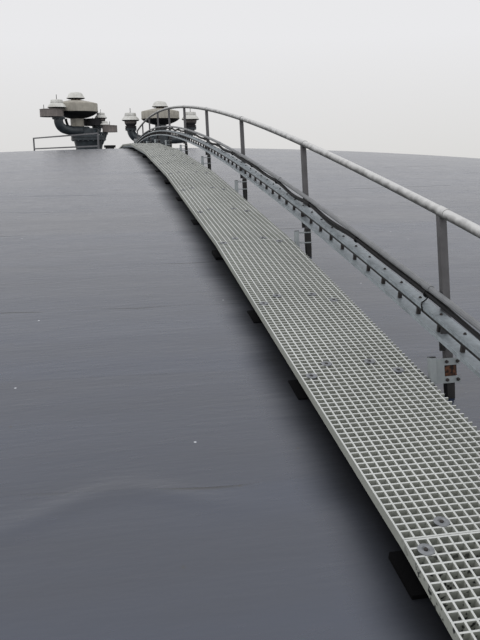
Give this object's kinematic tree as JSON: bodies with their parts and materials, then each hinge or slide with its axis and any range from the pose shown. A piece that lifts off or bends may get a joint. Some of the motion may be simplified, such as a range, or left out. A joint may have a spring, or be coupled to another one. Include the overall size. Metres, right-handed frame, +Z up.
{
  "type": "dome-roofed gas storage tank",
  "caption": "Flat-bottomed round gas tank with a shallow spherical dome roof, a grated roof walkway with handrail and cable ladder, relief valve clusters and a caged ladder.",
  "frame": {"origin": "centre of the tank's underside, on the ground", "axes": "+Z up; +Y along the roof walkway, from the access ladder towards the valve clusters"},
  "size_m": [38.4, 39.298, 15.7464],
  "materials": {
    "roof_membrane": "dark blue-grey sheet membrane, satin, softly rippled",
    "wall_cladding": "matt grey coated cladding",
    "floor_plate": "coated bottom plate",
    "grp_grating": "pale grey-green moulded fibreglass grating, weathered",
    "galvanised_steel": "hot-dip galvanised, dulled and bluish",
    "weathered_steel": "weathered galvanised tube, dull grey with pale bloom",
    "grey_conduit": "grey conduit and boxes, matt",
    "cable_sheath": "black cable sheath",
    "cast_pipework": "dark blue-grey coated cast pipework",
    "valve_housing": "dusty pale grey-beige coated housings"
  },
  "bodies": {
    "root": {"access_ladder": "galvanised_steel", "cable_bundle": "cable_sheath", "cable_ladder_1": "galvanised_steel", "cable_ladder_2": "galvanised_steel", "cable_riser": "galvanised_steel", "conduit": "grey_conduit", "guard_frame": "weathered_steel", "handrail_1": "weathered_steel", "handrail_2": "weathered_steel", "handrail_3": "weathered_steel", "junction_box_crown": "grey_conduit", "junction_box_foot": "grey_conduit", "ladder_cage_back": "galvanised_steel", "ladder_cage_left": "galvanised_steel", "ladder_cage_right": "galvanised_steel", "landing": "galvanised_steel", "landing_rail_left": "galvanised_steel", "landing_rail_right": "galvanised_steel", "left_main_valve": "valve_housing", "left_manifold": "cast_pipework", "left_side_valve_a": "valve_housing", "left_side_valve_b": "valve_housing", "left_side_valve_c": "valve_housing", "right_main_valve": "valve_housing", "right_manifold": "cast_pipework", "right_side_valve_a": "valve_housing", "right_side_valve_b": "valve_housing", "roof_crown": "roof_membrane", "roof_gore_1": "roof_membrane", "roof_gore_2": "roof_membrane", "roof_gore_3": "roof_membrane", "roof_gore_4": "roof_membrane", "roof_gore_5": "roof_membrane", "roof_gore_6": "roof_membrane", "tank_floor": "floor_plate", "walkway_frame_1": "galvanised_steel", "walkway_frame_2": "galvanised_steel", "walkway_frame_3": "galvanised_steel", "walkway_panel_1": "grp_grating", "walkway_panel_2": "grp_grating", "walkway_panel_3": "grp_grating", "walkway_panel_4": "grp_grating", "walkway_panel_5": "grp_grating", "walkway_panel_6": "grp_grating", "walkway_panel_7": "grp_grating", "walkway_panel_8": "grp_grating", "wall_segment_1": "wall_cladding", "wall_segment_2": "wall_cladding", "wall_segment_3": "wall_cladding", "wall_segment_4": "wall_cladding", "wall_segment_5": "wall_cladding", "wall_segment_6": "wall_cladding"}
  },
  "joints": []
}
